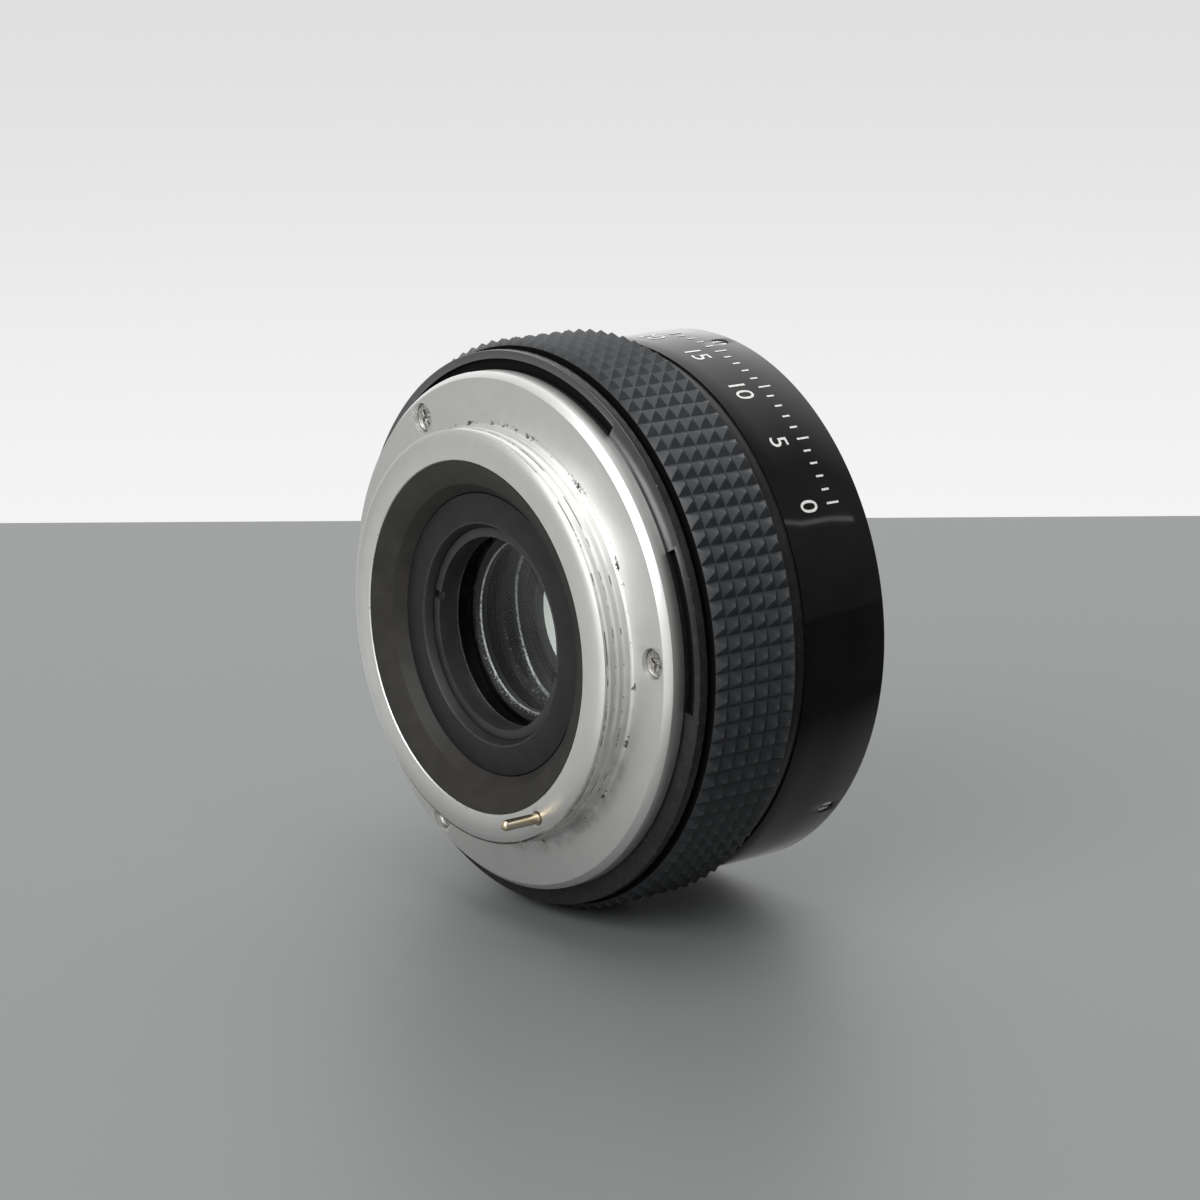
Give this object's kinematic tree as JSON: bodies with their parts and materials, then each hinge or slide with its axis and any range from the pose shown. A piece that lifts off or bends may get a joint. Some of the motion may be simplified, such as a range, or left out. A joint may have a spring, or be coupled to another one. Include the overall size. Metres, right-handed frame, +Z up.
{
  "type": "camera teleconverter",
  "caption": "Short ring-shaped lens converter with a male screw collar and sprung pin at the rear, a knurled rubber grip and a female screw thread at the front.",
  "frame": {"origin": "centre of the rear flange face, on the optical axis", "axes": "-Y along the optical axis towards the camera, +Y towards the lens, +Z up as it stands on its rim"},
  "size_m": [0.0586, 0.0348, 0.0586],
  "materials": {
    "satin_aluminium": "satin, turned",
    "screw_steel": "bright",
    "brass": "satin",
    "matte_black": "matte black anodised",
    "pin_steel": "polished, warm tint",
    "plain_steel": "satin",
    "spring_steel": "bright",
    "black_steel": "blackened",
    "satin_black": "satin black anodised",
    "grip_rubber": "knurled",
    "gloss_black": "gloss black anodised",
    "coated_glass": "coated optical glass",
    "worn_black": "worn black paint"
  },
  "bodies": {
    "housing": {"rear_mount_flange": "satin_aluminium", "flange_screws": "screw_steel", "pin_bush": "brass", "rear_light_baffle": "matte_black", "rod_bushes": "brass", "return_springs": "spring_steel", "main_body": "satin_black", "rubber_grip": "grip_rubber", "outer_barrel": "gloss_black", "front_mount_ring": "satin_aluminium", "barrel_set_screws": "screw_steel", "lens_cell": "matte_black", "rear_retaining_ring": "matte_black", "front_retaining_ring": "matte_black", "cell_lock_ring": "matte_black", "rear_lens": "coated_glass", "rear_spacer_ring": "worn_black", "middle_lens": "coated_glass", "front_spacer_ring": "worn_black", "doublet_rear_lens": "coated_glass", "doublet_front_lens": "coated_glass"},
    "stop_down_slide": {"aperture_pin": "pin_steel", "transfer_ring": "plain_steel", "push_rods": "plain_steel", "rod_clips": "plain_steel", "pusher_ring": "black_steel"}
  },
  "joints": [
    {"name": "aperture_pin_slide", "type": "slide", "parent": "housing", "child": "stop_down_slide", "axis": [0, 1, 0], "range_m": [0, 0.003], "stiffness_N_per_m": 120, "springref_m": -0.003, "deforming": ["return_springs"]}
  ]
}
